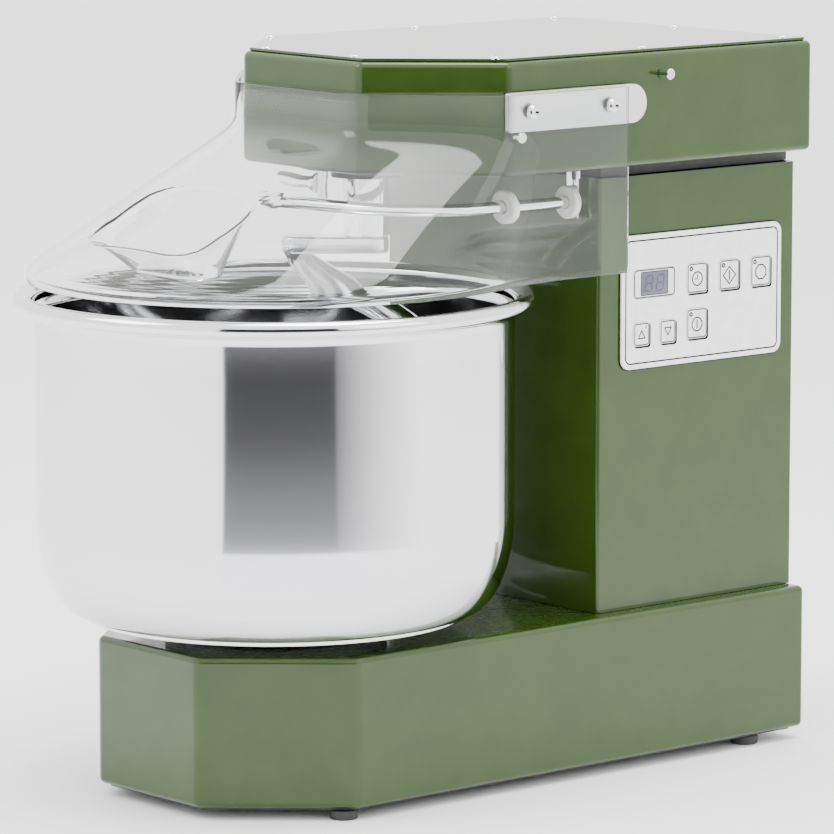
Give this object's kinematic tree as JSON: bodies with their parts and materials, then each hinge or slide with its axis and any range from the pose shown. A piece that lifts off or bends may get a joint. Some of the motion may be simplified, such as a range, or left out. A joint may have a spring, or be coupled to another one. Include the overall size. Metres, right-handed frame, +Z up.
{
  "type": "spiral dough mixer",
  "caption": "Compact spiral dough mixer: cabinet base and column, drive head, turning steel bowl, spiral hook, hinged clear guard with a filling chute, side keys.",
  "frame": {"origin": "centre of the overall bounding box in plan, at the underside of the feet", "axes": "+Z up, +Y from the bowl to the back of the machine, +X towards the side with the keys"},
  "size_m": [0.3734, 0.5924, 0.5306],
  "materials": {
    "green_paint": "gloss",
    "bowl_steel": "fine brushed, bright",
    "plate_steel": "brushed",
    "chrome": "polished",
    "drive_steel": "machined",
    "cast": "matt",
    "rubber": "matt",
    "black_plastic": "matt",
    "white_plastic": "satin",
    "panel_film": "satin film",
    "board": "satin",
    "display": "gloss",
    "clear_plastic": "clear gloss"
  },
  "bodies": {
    "cabinet": {"base_housing": "green_paint", "column_housing": "green_paint", "column_rear_cover": "green_paint", "head_housing": "green_paint", "head_top_cover": "green_paint", "deflector_bar": "chrome", "bar_hanger": "chrome", "closed_stop_left": "chrome", "closed_stop_right": "chrome", "open_stop_left": "chrome", "open_stop_right": "chrome", "bowl_chain": "drive_steel", "spiral_chain": "drive_steel", "motor_bracket": "drive_steel", "motor": "drive_steel", "bowl_bearing_housing": "cast", "lay_shaft_bearing_lower": "cast", "lay_shaft_bearing_upper": "cast", "spiral_bearing_housing": "cast", "foot_front_left": "rubber", "foot_front_right": "rubber", "foot_back_left": "rubber", "foot_back_right": "rubber", "drive_belt": "rubber", "base_bottom_plate": "black_plastic", "power_inlet": "black_plastic", "head_mounting_plate": "black_plastic", "guard_switch": "black_plastic", "bar_disc_front": "white_plastic", "bar_disc_rear": "white_plastic", "hinge_bush_left": "white_plastic", "hinge_bush_right": "white_plastic", "control_panel": "panel_film", "circuit_board": "board", "display_window": "display"},
    "bowl_group": {"bowl": "bowl_steel", "bowl_turntable": "cast", "bowl_shaft": "drive_steel", "bowl_sprocket": "drive_steel"},
    "lay_shaft_group": {"lay_shaft": "drive_steel", "lay_sprocket_lower": "drive_steel", "lay_pulley": "cast", "lay_sprocket_upper": "drive_steel"},
    "motor_rotor": {"motor_shaft": "drive_steel", "motor_pulley": "cast"},
    "spiral_group": {"spiral_shaft": "chrome", "spiral_hook": "plate_steel", "spiral_sprocket": "drive_steel"},
    "guard": {"guard_shell": "clear_plastic", "guard_plate_left": "plate_steel", "guard_plate_right": "plate_steel", "guard_hinge_shaft": "plate_steel", "guard_switch_cam": "drive_steel"},
    "key_timer": {"key_timer": "panel_film"},
    "key_start": {"key_start": "panel_film"},
    "key_stop": {"key_stop": "panel_film"},
    "key_power": {"key_power": "panel_film"},
    "key_up": {"key_up": "panel_film"},
    "key_down": {"key_down": "panel_film"}
  },
  "joints": [
    {"name": "guard_hinge", "type": "hinge", "parent": "cabinet", "child": "guard", "pos_m": [0, 0.10375, 0.4915], "axis": [-1, 0, 0], "range_deg": [0, 125]},
    {"name": "bowl_spin", "type": "hinge", "parent": "cabinet", "child": "bowl_group", "pos_m": [0, -0.10955, 0.122], "axis": [0, 0, 1], "continuous": true},
    {"name": "lay_shaft_spin", "type": "hinge", "parent": "cabinet", "child": "lay_shaft_group", "pos_m": [-0.058, 0.19175, 0.25], "axis": [0, 0, 1], "continuous": true},
    {"name": "spiral_spin", "type": "hinge", "parent": "cabinet", "child": "spiral_group", "pos_m": [0, -0.02405, 0.42], "axis": [0, 0, 1], "continuous": true},
    {"name": "motor_spin", "type": "hinge", "parent": "cabinet", "child": "motor_rotor", "pos_m": [0.042, 0.21175, 0.19], "axis": [0, 0, 1], "continuous": true},
    {"name": "timer_press", "type": "slide", "parent": "cabinet", "child": "key_timer", "axis": [-1, 0, 0], "range_m": [0, 0.001], "stiffness_N_per_m": 900},
    {"name": "start_press", "type": "slide", "parent": "cabinet", "child": "key_start", "axis": [-1, 0, 0], "range_m": [0, 0.001], "stiffness_N_per_m": 900},
    {"name": "stop_press", "type": "slide", "parent": "cabinet", "child": "key_stop", "axis": [-1, 0, 0], "range_m": [0, 0.001], "stiffness_N_per_m": 900},
    {"name": "power_press", "type": "slide", "parent": "cabinet", "child": "key_power", "axis": [-1, 0, 0], "range_m": [0, 0.001], "stiffness_N_per_m": 900},
    {"name": "up_press", "type": "slide", "parent": "cabinet", "child": "key_up", "axis": [-1, 0, 0], "range_m": [0, 0.001], "stiffness_N_per_m": 900},
    {"name": "down_press", "type": "slide", "parent": "cabinet", "child": "key_down", "axis": [-1, 0, 0], "range_m": [0, 0.001], "stiffness_N_per_m": 900}
  ],
  "couplings": [
    {"joint": "lay_shaft_spin", "follows": "bowl_spin", "ratio": 5.25},
    {"joint": "spiral_spin", "follows": "bowl_spin", "ratio": 6.75},
    {"joint": "motor_spin", "follows": "bowl_spin", "ratio": 13.65}
  ]
}
